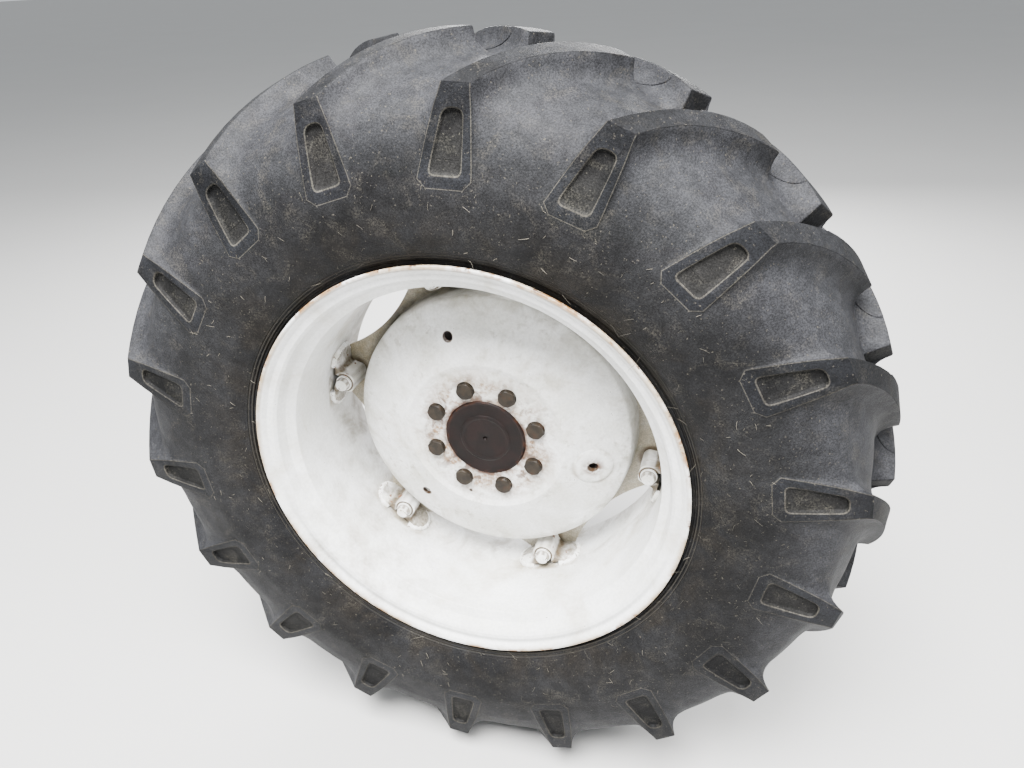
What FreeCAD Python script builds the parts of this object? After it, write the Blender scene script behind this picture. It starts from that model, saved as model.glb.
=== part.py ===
import FreeCAD, Part

import math
import os

import Sketcher

# Rear drive wheel of a farm tractor, on the end of its rear axle. The wheel turns about Y, its outer face
# looks towards -Y, +X is the way the tractor drives and +Z is up. The origin is the centre of the face by
# which the axle housing is bolted to the tractor. All lengths are in mm and all angles in degrees.

doc = FreeCAD.newDocument("tractor_rear_wheel")
sheet = doc.addObject("Spreadsheet::Sheet", "Dims")
Vector = FreeCAD.Vector


class Size:
    """A size worked out from the sheet: its value, and the expression that gives it."""

    def __init__(self, value, text):
        self.value = float(value)
        self.text = text

    def __add__(self, other):
        other = as_size(other)
        return Size(self.value + other.value, "(%s + %s)" % (self.text, other.text))

    def __sub__(self, other):
        other = as_size(other)
        return Size(self.value - other.value, "(%s - %s)" % (self.text, other.text))

    def __mul__(self, other):
        other = as_size(other)
        return Size(self.value * other.value, "(%s * %s)" % (self.text, other.text))

    def __truediv__(self, other):
        other = as_size(other)
        return Size(self.value / other.value, "(%s / %s)" % (self.text, other.text))

    def __neg__(self):
        return Size(-self.value, "(-%s)" % self.text)


def as_size(number):
    """A Size as it is, and a plain number as a Size."""
    if isinstance(number, Size):
        return number
    return Size(number, repr(float(number)))


def cosine(angle):
    return Size(math.cos(math.radians(angle.value)), "cos(%s * 1deg)" % angle.text)


def sine(angle):
    return Size(math.sin(math.radians(angle.value)), "sin(%s * 1deg)" % angle.text)


row = 0


def dim(alias, value):
    """Write one driving dimension into the sheet, and give it back as a Size."""
    global row
    row += 1
    sheet.set("A%d" % row, alias)
    sheet.set("B%d" % row, repr(value))
    sheet.setAlias("B%d" % row, alias)
    return Size(value, "Dims." + alias)


# Places along the axle, in from the plane of the rim's outer lip
hub_stand = dim("HubStand", 368.0)              # mounting flange to the wheel's seat on the axle
rim_offset = dim("RimOffset", 152.0)            # rim's outer lip to the wheel's seat on the axle
running_gap = dim("RunningGap", 6.0)            # between turning and fixed pieces
seat_gap = dim("SeatGap", 0.3)                  # between pieces that are pushed together
bearing_gap = dim("BearingGap", 0.08)           # round a journal, on the radius

# Rim, size W12-28
seat_radius = dim("SeatRadius", 355.6)          # bead seat
lip_height = dim("LipHeight", 25.4)             # rolled lip over the bead seat
well_depth = dim("WellDepth", 20.6)             # bead seat down to the barrel, outside
seat_taper = dim("SeatTaper", 2.0)
seat_width = dim("SeatWidth", 22.0)
seat_corner = dim("SeatCorner", 2.0)            # from the flange to the bead seat
well_run = dim("WellRun", 10.0)                 # width of the slope from seat to barrel
bead_width = dim("BeadWidth", 305.0)            # between the rim's two flanges
lip_width = dim("LipWidth", 16.0)               # each flange with its rolled lip
rim_wall = dim("RimWall", 5.0)
rim_fold = dim("RimFold", 3.0)                  # extra thickness where the strip is folded

# Tyre, size 14.9-28. Widths are from the middle plane to one side, and heights from the bead seat.
lug_count = dim("LugCount", 18)                 # on each side of the tread
lug_start = dim("LugStart", 84.4)               # angle of the first outer lug, at its leading shoulder
crown_height = dim("CrownHeight", 291.4)        # tread floor between the lugs
crown_half = dim("CrownHalf", 104.0)            # width of the nearly flat tread floor
crown_fall = dim("CrownFall", 12.0)             # how far the floor falls over that width
shoulder_half = dim("ShoulderHalf", 157.0)
shoulder_height = dim("ShoulderHeight", 244.4)
half_section = dim("HalfSection", 184.0)        # half of the section width
widest_height = dim("WidestHeight", 142.4)
lower_half = dim("LowerHalf", 178.0)            # sidewall, a little above the rim
lower_height = dim("LowerHeight", 56.4)
lip_clear = dim("LipClear", 6.0)                # between the rim's lip and the sidewall over it
tread_depth = dim("TreadDepth", 21.0)           # carcass under the tread floor
shoulder_depth = dim("ShoulderDepth", 14.0)     # carcass at its shoulders
side_wall = dim("SideWall", 12.0)               # carcass at its sides
cavity_drop = dim("CavityDrop", 26.0)           # widest line of the cavity, under that of the outside
bead_base = dim("BeadBase", 33.0)               # width of a bead on its seat

# Its lugs
lug_height = dim("LugHeight", 38.4)             # over the tread floor at the crown
lug_end_height = dim("LugEndHeight", 277.4)     # outer end of a lug's top
lug_end_half = dim("LugEndHalf", 173.5)
lug_end_wall = dim("LugEndWall", 55.0)          # how far a lug's outer end reaches down
lug_draft = dim("LugDraft", 18.0)               # angle of a lug's sides
lug_root = dim("LugRoot", 14.0)                 # how far a lug's foot reaches into the carcass
nose_skew = dim("NoseSkew", 25.0)               # a lug's end is cut askew: its trailing edge runs on so far
pad_chamfer = dim("PadChamfer", 13.0)           # at a shoulder pad's lower corners
pad_lean = dim("PadLean", 0.1)                  # how far a shoulder pad widens for each mm down
pad_root = dim("PadRoot", 21.0)                 # how far a shoulder pad reaches in

# Wheel bolts, of which the heads are made
bolt_count = dim("BoltCount", 8)
bolt_start = dim("BoltStart", 18.4)             # angle of the first bolt
bolt_circle = dim("BoltCircle", 101.6)          # radius
bolt_flats = dim("BoltFlats", 30.0)
bolt_head = dim("BoltHead", 11.0)

# Disc. A drop is measured from the hub face, in towards the tractor.
hub_face_edge = dim("HubFaceEdge", 40.4)        # bolt circle to the edge of the hub face
hub_ridge_run = dim("HubRidgeRun", 9.0)         # on from there to the low ridge round it
hub_ridge_rise = dim("HubRidgeRise", 3.0)
crown_edge_drop = dim("CrownEdgeDrop", 27.0)
edge_round = dim("EdgeRound", 12.0)             # rolled edge of the dish
skirt_run = dim("SkirtRun", 23.0)               # how much wider the skirt is at its foot than the dish
flange_drop = dim("FlangeDrop", 96.0)
disc_wall = dim("DiscWall", 8.0)
ear_count = dim("EarCount", 6)
ear_start = dim("EarStart", 48.5)               # angle of the first ear
skirt_clear = dim("SkirtClear", 36.0)           # clamp bolts' circle down to the skirt's foot
ear_edge = dim("EarEdge", 25.0)                 # clamp bolts' circle to the end of an ear
ear_waist = dim("EarWaist", 24.0)               # clamp bolts' circle down to the flange between two ears
ear_cut = dim("EarCut", 283.0)                  # radius of the arc between two ears
hand_hole_edge = dim("HandHoleEdge", 41.0)      # dish's rolled edge to the small holes' circle
hand_hole_radius = dim("HandHoleRadius", 9.0)
hand_hole_start = dim("HandHoleStart", 108.5)   # angle of the first small hole
hand_holes = dim("HandHoles", 3)

# Rim lugs, with the heads and nuts of their clamp bolts
clamp_stand = dim("ClampStand", 28.0)           # barrel down to the clamp bolts' circle
clamp_flats = dim("ClampFlats", 22.0)
clamp_head = dim("ClampHead", 15.0)             # with its washer
clamp_nut = dim("ClampNut", 16.0)
saddle_wall = dim("SaddleWall", 7.0)
saddle_crown = dim("SaddleCrown", 20.0)         # outer radius of the half-round tunnel
saddle_length = dim("SaddleLength", 58.0)
saddle_span = dim("SaddleSpan", 60.0)           # from the middle to the end of a wing
saddle_foot = dim("SaddleFoot", 9.0)            # barrel to the bend between tunnel and wing
saddle_bend = dim("SaddleBend", 3.0)            # width of that bend

# Axle shaft
pilot_edge = dim("PilotEdge", 25.4)             # bolt circle in to the pilot that the disc sits on
pilot_stand = dim("PilotStand", 10.0)           # end of the pilot, out from the wheel's seat
flange_edge = dim("FlangeEdge", 30.4)           # bolt circle to the edge of the shaft's flange
flange_wall = dim("FlangeWall", 20.0)
journal_radius = dim("JournalRadius", 42.5)
drive_radius = dim("DriveRadius", 27.5)         # inner end, where the final drive takes hold
drive_length = dim("DriveLength", 68.0)         # beyond the mounting flange
journal_stand = dim("JournalStand", 6.0)        # end of the journal, beyond the mounting flange

# Axle housing
casing_radius = dim("CasingRadius", 212.0)      # drum of the final drive's gears
casing_length = dim("CasingLength", 108.0)
casing_wall = dim("CasingWall", 12.0)
bearing_land = dim("BearingLand", 48.0)
boss_radius = dim("BossRadius", 66.0)           # round the bearings, inside the drum
tube_radius = dim("TubeRadius", 70.0)
tube_shoulder = dim("TubeShoulder", 48.0)       # cone between the drum and the tube
root_radius = dim("RootRadius", 92.0)           # tube's foot on the mounting flange
root_run = dim("RootRun", 20.0)
mount_radius = dim("MountRadius", 155.0)
mount_wall = dim("MountWall", 20.0)
mount_circle = dim("MountCircle", 130.0)        # radius
mount_start = dim("MountStart", 30.0)           # angle of the first bolt hole
mount_bolts = dim("MountBolts", 6)
mount_hole_radius = dim("MountHoleRadius", 8.5)

# Sizes that follow from them
rim_plane = hub_stand + rim_offset              # mounting flange to the rim's outer lip
rim_width = bead_width + lip_width * 2
lip_radius = seat_radius + lip_height
well_radius = seat_radius - well_depth
barrel_radius = well_radius - rim_wall          # barrel, inside
crown_radius = seat_radius + crown_height
widest_radius = seat_radius + widest_height
lug_end_radius = seat_radius + lug_end_height
clamp_circle = barrel_radius - clamp_stand
skirt_foot_radius = clamp_circle - skirt_clear
dish_radius = skirt_foot_radius - skirt_run     # where the dish's rolled edge begins
pilot_radius = bolt_circle - pilot_edge
hub_face_radius = bolt_circle + hub_face_edge
hub_ridge_radius = hub_face_radius + hub_ridge_run
hub_face = rim_offset - disc_wall               # outer face of the disc where it is bolted on
flange_face = hub_face + flange_drop            # outer face of the disc's ears
saddle_start = flange_face - saddle_length
housing_start = rim_offset + flange_wall + running_gap
journal_bore = journal_radius + bearing_gap

doc.recompute()


def bind(thing, name, size):
    """Tie a property to the sheet."""
    thing.setExpression(name, as_size(size).text)


def place(thing, along, angle=None):
    """Put a piece on the wheel's axis, in from the rim's outer lip, and turn it about the axis."""
    y = along - rim_plane
    turn = 0.0 if angle is None else angle.value
    thing.Placement = FreeCAD.Placement(Vector(0, y.value, 0), FreeCAD.Rotation(Vector(0, -1, 0), turn))
    bind(thing, "Placement.Base.y", y)
    if angle is not None:
        bind(thing, "Placement.Rotation.Angle", angle)


def plane_sketch(body, name, role):
    """A sketch on one of the body's own planes."""
    sketch = body.newObject("Sketcher::SketchObject", name)
    for feature in body.Origin.OriginFeatures:
        if feature.Role == role:
            sketch.AttachmentSupport = (feature, [""])
    sketch.MapMode = "FlatFace"
    return sketch


def pin_point(sketch, edge, end, point):
    """Hold one end of an edge at its two sizes from the sketch's origin."""
    kinds = (("DistanceX", -2, point[0]), ("DistanceY", -1, point[1]))
    for kind, axis, size in kinds:
        size = as_size(size)
        if size.value == 0.0:
            sketch.addConstraint(Sketcher.Constraint("PointOnObject", edge, end, axis))
        else:
            number = sketch.addConstraint(Sketcher.Constraint(kind, -1, 1, edge, end, size.value))
            sketch.setExpression("Constraints[%d]" % number, size.text)


def outline(sketch, points):
    """Closed outline of straight edges through the points."""
    ends = [Vector(as_size(x).value, as_size(y).value, 0) for x, y in points]
    for index, start in enumerate(ends):
        sketch.addGeometry(Part.LineSegment(start, ends[(index + 1) % len(ends)]), False)
    for index, point in enumerate(points):
        following = (index + 1) % len(points)
        sketch.addConstraint(Sketcher.Constraint("Coincident", index, 2, following, 1))
        pin_point(sketch, index, 1, point)


def revolve(body, name, points):
    """Turn an outline of (radius, place along the axis) points about the axle."""
    sketch = plane_sketch(body, name + "_outline", "XY_Plane")
    outline(sketch, points)
    turned = body.newObject("PartDesign::Revolution", name)
    turned.Profile = sketch
    turned.ReferenceAxis = (sketch, ["V_Axis"])
    turned.Angle = 360.0


def hole_ring(body, name, circle, angle, radius, count, start=None):
    """A ring of round holes along the axle, right through the body or on from a start."""
    sketch = plane_sketch(body, name + "_sketch", "XZ_Plane")
    centre = (circle * cosine(angle), circle * sine(angle))
    edge = sketch.addGeometry(
        Part.Circle(Vector(centre[0].value, centre[1].value, 0), Vector(0, 0, 1), radius.value), False)
    pin_point(sketch, edge, 3, centre)
    number = sketch.addConstraint(Sketcher.Constraint("Radius", edge, radius.value))
    sketch.setExpression("Constraints[%d]" % number, radius.text)
    if start is not None:
        sketch.AttachmentOffset = FreeCAD.Placement(Vector(0, 0, -start.value), FreeCAD.Rotation())
        bind(sketch, "AttachmentOffset.Base.z", -start)
    cut = body.newObject("PartDesign::Pocket", name)
    cut.Profile = sketch
    cut.Type = 1
    ring = body.newObject("PartDesign::PolarPattern", name + "_ring")
    ring.Originals = [cut]
    ring.Axis = (sketch, ["N_Axis"])
    ring.Angle = 360.0
    bind(ring, "Occurrences", count)
    body.Tip = ring


pieces = {}


def keep(label, thing):
    """Register a finished piece under the name of its file."""
    thing.Label = label
    pieces[label] = thing


# Tyre: a carcass with flat panels, two for each lug, under two rows of lugs. A lug is a bar that curves
# from the shoulder to the middle of the tread, and a pad that runs down the sidewall. Corners are given by
# s, the way from the tread's middle plane, r, the way from the axle, and an angle.
def corner(s, r, angle):
    turn = math.radians(angle)
    return Vector(r * math.cos(turn), s, r * math.sin(turn))


def polygon(*corners):
    return Part.Face(Part.makePolygon(list(corners) + [corners[0]]))


def closed(faces):
    """Solid inside a closed set of faces."""
    solid = Part.Solid(Part.Shell(faces))
    if solid.Volume < 0:
        solid.reverse()
    return solid


def panelled_ring(half_outline, panels):
    """Ring of flat panels, from half of a section that starts and ends on the middle plane."""
    section = list(half_outline) + [(-s, r) for s, r in reversed(half_outline) if s > 0]
    faces = []
    for panel in range(panels):
        near = lug_start.value + 360.0 * panel / panels
        far = near + 360.0 / panels
        for index, (s, r) in enumerate(section):
            next_s, next_r = section[(index + 1) % len(section)]
            faces.append(polygon(corner(s, r, near), corner(next_s, next_r, near),
                                 corner(next_s, next_r, far), corner(s, r, far)))
    return closed(faces)


def lug_bar(side, angle):
    """Bar of one lug, on the -Y or the +Y side, its leading shoulder at an angle."""
    floor = crown_radius.value
    edge = floor - crown_fall.value
    end = lug_end_radius.value
    rise = floor + lug_height.value - end
    # Share of the way to the shoulder, share of the rise, leading and trailing edge, radius of the floor,
    # how far the trailing edge runs on past the leading one
    rows = (
        (1.00, 0.00, 0.0, 3.7, edge - lug_end_wall.value, 0.0),
        (0.58, 0.64, -5.2, -1.7, edge, 0.0),
        (0.24, 0.94, -11.9, -8.0, (floor + edge) / 2, 0.0),
        (0.03, 1.00, -15.0, -12.4, floor, nose_skew.value),
    )
    middle = angle + (rows[0][3] + rows[-1][2]) / 2
    outward = corner(0, 1, middle)
    spread = corner(0, 1, middle + 90) * math.tan(math.radians(lug_draft.value))
    rings = []
    for way, share, leading, trailing, ground, skew in rows:
        s = lug_end_half.value * way
        r = end + rise * share
        depth = r - ground + lug_root.value
        lead = corner(side * s, r, angle + leading)
        trail = corner(side * (s - skew), r, angle + trailing)
        rings.append((lead, trail, trail + (spread - outward) * depth, lead - (spread + outward) * depth))
    nose = rings[-1]
    faces = [polygon(*rings[0]), polygon(*nose[:3]), polygon(nose[0], *nose[2:])]
    for low, high in zip(rings, rings[1:]):
        for k in (1, 3):
            faces.append(polygon(low[k], low[(k + 1) % 4], high[(k + 1) % 4], high[k]))
        for k in (0, 2):
            faces.append(polygon(low[k], low[k + 1], high[k + 1]))
            faces.append(polygon(low[k], high[k + 1], high[k]))
    return closed(faces)


def lug_pad(side, angle):
    """Pad of one lug, a flat leaning plate with two chamfered corners, pushed into the sidewall."""
    top = lug_end_radius.value
    low = widest_radius.value
    chamfer = low + pad_chamfer.value
    # Angle from the leading shoulder and radius of each corner
    corners = ((3.7, top), (0.0, top), (-1.1, chamfer), (0.15, low), (6.5, low), (7.7, chamfer))
    outward = corner(0, 1, angle + 2)
    along = corner(0, 1, angle + 92)
    outer = []
    for turn, r in corners:
        point = corner(0, r, angle + turn)
        drop = top - point.dot(outward)
        point.y = side * (lug_end_half.value + drop * pad_lean.value)
        outer.append(point)
    inward = Vector(0, -side * pad_root.value, 0)
    return polygon(*outer).extrude(inward - along * (pad_root.value * 0.3))


def make_tyre():
    pitch = 360.0 / lug_count.value
    panels = int(lug_count.value) * 2
    seat = (seat_radius.value + seat_gap.value) / math.cos(math.pi / panels)
    flange = bead_width.value / 2 - seat_corner.value - seat_gap.value
    lip = lip_radius.value
    toe = flange - bead_base.value
    bore = seat - well_depth.value / 2
    floor = crown_radius.value
    shoulder = seat_radius.value + shoulder_height.value
    carcass = panelled_ring((
        (0.0, floor),
        (crown_half.value, floor - crown_fall.value),
        (shoulder_half.value, shoulder),
        (half_section.value, widest_radius.value),
        (lower_half.value, seat_radius.value + lower_height.value),
        (flange + lip_clear.value, lip + lip_clear.value),
        (flange, lip - lip_width.value / 2),
        (flange, seat),
        (toe, seat),
        (toe, bore),
        (0.0, bore),
    ), panels)
    cavity = panelled_ring((
        (0.0, floor - tread_depth.value),
        (shoulder_half.value - shoulder_depth.value, shoulder - shoulder_depth.value),
        (half_section.value - side_wall.value, widest_radius.value - cavity_drop.value),
        (toe + lip_clear.value, lip + lip_clear.value),
        (toe, seat),
        (toe, bore - seat_gap.value),
        (0.0, bore - seat_gap.value),
    ), panels)
    tyre = carcass.cut(cavity)
    lugs = []
    for side, stagger in ((-1, 0.0), (1, pitch / 2)):
        for number in range(int(lug_count.value)):
            angle = lug_start.value + pitch * number - stagger
            lugs += [lug_bar(side, angle), lug_pad(side, angle)]
    part = doc.addObject("Part::Feature", "tyre")
    part.Shape = tyre.multiFuse(lugs).removeSplitter()
    place(part, rim_width / 2)
    keep("tyre", part)


make_tyre()


# Rim: rolled from one strip. Both lips curl outwards, and two bead seats step down to a wide barrel.
def make_rim():
    body = doc.addObject("PartDesign::Body", "rim")
    seat_start = lip_width + seat_corner
    seat_end = seat_start + seat_width
    tyre_side = [
        (lip_radius, as_size(0)),
        (seat_radius, seat_start),
        (seat_radius - seat_taper, seat_end),
        (well_radius, seat_end + well_run),
    ]
    axle_side = [
        (lip_radius - rim_wall, as_size(0)),
        (seat_radius - rim_fold, lip_width - rim_wall),
        (seat_radius - seat_taper - rim_wall - rim_fold, seat_end - seat_corner),
        (barrel_radius, seat_end + well_run),
    ]
    points = tyre_side + [(r, rim_width - y) for r, y in reversed(tyre_side)]
    points += [(r, rim_width - y) for r, y in axle_side] + axle_side[::-1]
    revolve(body, "strip", points)
    place(body, as_size(0))
    keep("rim", body)


make_rim()


# Disc: one pressing, from the hub face over a shallow cone and a rolled edge to a deep skirt, whose flange
# has an ear for each clamp bolt
def make_disc():
    body = doc.addObject("PartDesign::Body", "disc")
    bore = pilot_radius + seat_gap
    ridge = hub_face - hub_ridge_rise
    crown_edge = hub_face + crown_edge_drop
    rolled = dish_radius + edge_round
    ear_radius = clamp_circle + ear_edge
    revolve(body, "pressing", [
        (bore, hub_face),
        (hub_face_radius, hub_face),
        (hub_ridge_radius, ridge),
        (dish_radius, crown_edge),
        (rolled, crown_edge + edge_round),
        (skirt_foot_radius, flange_face),
        (ear_radius, flange_face),
        (ear_radius, flange_face + disc_wall),
        (skirt_foot_radius - disc_wall, flange_face + disc_wall),
        (rolled - disc_wall, crown_edge + edge_round),
        (hub_ridge_radius - disc_wall / 2, rim_offset),
        (bore, rim_offset),
    ])
    between = ear_start + as_size(180) / ear_count
    clear_of_skirt = flange_face - edge_round
    ear_cut_circle = clamp_circle - ear_waist + ear_cut
    hole_ring(body, "ear_cut", ear_cut_circle, between, ear_cut, ear_count, clear_of_skirt)
    hand_hole_circle = dish_radius - hand_hole_edge
    hole_ring(body, "hand_hole", hand_hole_circle, hand_hole_start, hand_hole_radius, hand_holes)
    place(body, as_size(0))
    keep("disc", body)


make_disc()


# Rim lugs: pressed saddles welded in the barrel, each a half-round tunnel between two wings
def make_saddle(number):
    label = "rim_lug_%d" % number
    body = doc.addObject("PartDesign::Body", label)
    sketch = plane_sketch(body, "section", "XZ_Plane")
    foot = barrel_radius - saddle_foot
    tip = barrel_radius - saddle_span * saddle_span / (barrel_radius * 2) - seat_gap
    bore = saddle_crown - saddle_wall

    def tunnel(radius, sign):
        """Corners of a half-round arch, bulging in towards the axle."""
        turns = [as_size(30.0 * step * sign) for step in range(-3, 4)]
        return [(clamp_circle - radius * cosine(turn), radius * sine(turn)) for turn in turns]

    bend = saddle_crown + saddle_bend
    outer = [(tip - saddle_wall, -saddle_span), (foot - saddle_wall, -bend)]
    outer += tunnel(saddle_crown, 1)
    outer += [(foot - saddle_wall, bend), (tip - saddle_wall, saddle_span)]
    inner = [(tip, saddle_span), (foot, bend + saddle_bend), (foot, bore)]
    inner += tunnel(bore, -1)
    inner += [(foot, -bore), (foot, -bend - saddle_bend), (tip, -saddle_span)]
    outline(sketch, outer + inner)
    pad = body.newObject("PartDesign::Pad", "pressing")
    pad.Profile = sketch
    pad.Reversed = True
    bind(pad, "Length", saddle_length)
    place(body, saddle_start, ear_start + as_size(360) * (number - 1) / ear_count)
    keep(label, body)


for lug_number in range(1, int(ear_count.value) + 1):
    make_saddle(lug_number)


def hex_ring(label, flats, start, height, circle, angle, count):
    """A ring of hexagonal heads or nuts in one node, as solids that don't touch."""
    heads = []
    for number in range(int(count.value)):
        turn = angle + as_size(360) * number / count
        head = doc.addObject("Part::Prism", "%s_%d" % (label, number + 1))
        head.Polygon = 6
        bind(head, "Circumradius", flats / math.sqrt(3))
        bind(head, "Height", height)
        base = (circle * cosine(turn), start - rim_plane, circle * sine(turn))
        along_axle = FreeCAD.Rotation(Vector(1, 0, 0), -90)
        head.Placement = FreeCAD.Placement(Vector(*[size.value for size in base]), along_axle)
        for axis, size in zip("xyz", base):
            bind(head, "Placement.Base." + axis, size)
        heads.append(head)
    compound = doc.addObject("Part::Compound", label)
    compound.Links = heads
    keep(label, compound)


# Bolts: their shanks are closed inside the pieces that they hold, so only heads and nuts are made
hex_ring("wheel_bolts", bolt_flats, hub_face - bolt_head, bolt_head, bolt_circle, bolt_start, bolt_count)
hex_ring("clamp_bolts", clamp_flats, saddle_start - clamp_head, clamp_head, clamp_circle, ear_start, ear_count)
hex_ring("clamp_nuts", clamp_flats, flange_face + disc_wall, clamp_nut, clamp_circle, ear_start, ear_count)


# Axle shaft: bolt flange and pilot forged on, journal turned, inner end for the final drive
def make_axle_shaft():
    body = doc.addObject("PartDesign::Body", "axle_shaft")
    revolve(body, "forging", [
        (as_size(0), rim_offset - pilot_stand),
        (pilot_radius, rim_offset - pilot_stand),
        (pilot_radius, rim_offset),
        (bolt_circle + flange_edge, rim_offset),
        (bolt_circle + flange_edge, rim_offset + flange_wall),
        (journal_radius, rim_offset + flange_wall),
        (journal_radius, rim_plane + journal_stand),
        (drive_radius, rim_plane + journal_stand),
        (drive_radius, rim_plane + drive_length),
        (as_size(0), rim_plane + drive_length),
    ])
    place(body, as_size(0))
    keep("axle_shaft", body)


make_axle_shaft()


# Axle housing: a casting with a drum round the final drive, hollow about two bearing bosses, a tube and a
# mounting flange
def make_housing():
    body = doc.addObject("PartDesign::Body", "axle_housing")
    casing_end = housing_start + casing_length
    cavity_end = casing_end - casing_wall
    inside = casing_radius - casing_wall
    flange_start = rim_plane - mount_wall
    revolve(body, "casting", [
        (journal_bore, housing_start),
        (casing_radius, housing_start),
        (casing_radius, casing_end),
        (tube_radius + tube_shoulder, casing_end),
        (tube_radius, casing_end + tube_shoulder),
        (tube_radius, flange_start - root_run),
        (root_radius, flange_start),
        (mount_radius, flange_start),
        (mount_radius, rim_plane),
        (journal_bore, rim_plane),
        (journal_bore, cavity_end - casing_wall),
        (boss_radius, cavity_end - casing_wall),
        (boss_radius, cavity_end),
        (inside, cavity_end),
        (inside, housing_start + casing_wall),
        (boss_radius, housing_start + casing_wall),
        (boss_radius, housing_start + bearing_land),
        (journal_bore, housing_start + bearing_land),
    ])
    hole_ring(body, "mount_hole", mount_circle, mount_start, mount_hole_radius, mount_bolts)
    place(body, as_size(0))
    keep("axle_housing", body)


make_housing()

doc.recompute()

for thing in doc.Objects:
    if "Invalid" in thing.State or "Error" in thing.State:
        raise RuntimeError("%s is %s" % (thing.Name, thing.State))

os.makedirs("parts", exist_ok=True)
for label, thing in pieces.items():
    shape = thing.Shape
    if shape.isNull() or not shape.isValid():
        raise RuntimeError("%s has no valid shape" % label)
    shape.exportStep("parts/%s.step" % label)
    print("%-16s solids %d  volume %.1f cm3" % (label, len(shape.Solids), shape.Volume / 1000))
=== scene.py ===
import math
import random

import bpy
from mathutils import Matrix, Vector


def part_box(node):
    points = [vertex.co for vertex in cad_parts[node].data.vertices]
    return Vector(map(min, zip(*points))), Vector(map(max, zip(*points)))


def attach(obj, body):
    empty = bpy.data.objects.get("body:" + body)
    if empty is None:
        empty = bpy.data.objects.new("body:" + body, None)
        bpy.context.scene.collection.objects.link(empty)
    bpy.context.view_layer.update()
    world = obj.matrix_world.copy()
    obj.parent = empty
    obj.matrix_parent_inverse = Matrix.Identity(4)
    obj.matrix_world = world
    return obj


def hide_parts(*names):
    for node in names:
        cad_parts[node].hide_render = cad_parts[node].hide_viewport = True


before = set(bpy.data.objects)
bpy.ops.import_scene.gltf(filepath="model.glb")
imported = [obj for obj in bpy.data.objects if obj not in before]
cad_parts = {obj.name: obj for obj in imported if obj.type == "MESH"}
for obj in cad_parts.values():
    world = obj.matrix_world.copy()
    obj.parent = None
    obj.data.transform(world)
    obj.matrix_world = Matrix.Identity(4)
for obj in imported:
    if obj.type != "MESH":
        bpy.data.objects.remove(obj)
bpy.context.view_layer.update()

# Axle housing. An iron casting in the tractor's red, machined in its bores and on its flange. It has a drum round
# the final drive's gears, closed by a bolted cover, a tube, and a flange with six bolt holes, by which it is
# bolted to the tractor. It doesn't turn.
mm = 0.001
lip_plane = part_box("rim")[0][1] / mm


def rounded(corners, steps=5):
    """Closed outline through (x, y, bend) corners, each bend drawn as a round of about that radius."""
    points = []
    for index, (x, y, bend) in enumerate(corners):
        here = Vector((x, y))
        if bend == 0:
            points.append(here)
            continue
        back = Vector(corners[index - 1][:2]) - here
        ahead = Vector(corners[(index + 1) % len(corners)][:2]) - here
        reach = bend / math.tan(back.angle(ahead) / 2)
        start = here + back.normalized() * min(reach, back.length * 0.49)
        end = here + ahead.normalized() * min(reach, ahead.length * 0.49)
        for step in range(steps + 1):
            t = step / steps
            points.append(start * (1 - t) ** 2 + here * 2 * t * (1 - t) + end * t ** 2)
    return points


def smooth(piece, angle=32):
    """Round shading that stays crisp where faces meet at more than the angle."""
    bpy.ops.object.select_all(action="DESELECT")
    piece.select_set(True)
    bpy.context.view_layer.objects.active = piece
    bpy.ops.object.shade_smooth_by_angle(angle=math.radians(angle))


def turned(name, corners, steps=144, bends=5):
    """Ring about the axle, drawn on from point to point of a closed outline of (radius, depth, bend) corners,
    in millimetres. Depth counts inwards from the rim's outer lip."""
    outline = rounded(corners, bends)
    bpy.ops.object.select_all(action="DESELECT")
    radius, depth = outline[0]
    quarter = math.radians(90)
    bpy.ops.mesh.primitive_circle_add(vertices=steps, radius=radius * mm, rotation=(quarter, 0, 0))
    ring = bpy.context.object
    ring.name = name
    bpy.ops.object.transform_apply(location=True, rotation=True, scale=True)
    bpy.ops.object.mode_set(mode="EDIT")
    bpy.ops.mesh.select_all(action="SELECT")
    bpy.ops.transform.translate(value=(0, (depth + lip_plane) * mm, 0))
    for next_radius, next_depth in outline[1:]:
        bpy.ops.mesh.extrude_edges_move(TRANSFORM_OT_translate={"value": (0, (next_depth - depth) * mm, 0)})
        scale = next_radius / radius
        bpy.ops.transform.resize(value=(scale, 1, scale), center_override=(0, (next_depth + lip_plane) * mm, 0))
        radius, depth = next_radius, next_depth
    bpy.ops.mesh.select_all(action="SELECT")
    bpy.ops.mesh.region_to_loop()
    bpy.ops.mesh.bridge_edge_loops()
    bpy.ops.mesh.select_all(action="SELECT")
    bpy.ops.mesh.remove_doubles(threshold=0.00001)
    bpy.ops.mesh.normals_make_consistent(inside=False)
    bpy.ops.object.mode_set(mode="OBJECT")
    smooth(ring)
    return ring


def polar(radius, turn, depth):
    """Place at a radius in millimetres, an angle in degrees and a depth from the lip."""
    angle = math.radians(turn)
    return Vector((radius * math.cos(angle), depth + lip_plane, radius * math.sin(angle))) * mm


def drum(name, radius, start, end, circle=0, turn=0, steps=48):
    """Round bar along the axle, its middle on a circle about it."""
    bpy.ops.object.select_all(action="DESELECT")
    quarter = math.radians(90)
    middle = polar(circle, turn, (start + end) / 2)
    bpy.ops.mesh.primitive_cylinder_add(
        vertices=steps, radius=radius * mm, depth=(end - start) * mm, location=middle, rotation=(quarter, 0, 0))
    bar = bpy.context.object
    bar.name = name
    bpy.ops.object.transform_apply(location=True, rotation=True, scale=True)
    return bar


def joined(name, parts):
    """Several objects made one."""
    bpy.ops.object.select_all(action="DESELECT")
    for part in parts:
        part.select_set(True)
    bpy.context.view_layer.objects.active = parts[0]
    if len(parts) > 1:
        bpy.ops.object.join()
    parts[0].name = name
    return parts[0]


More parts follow.
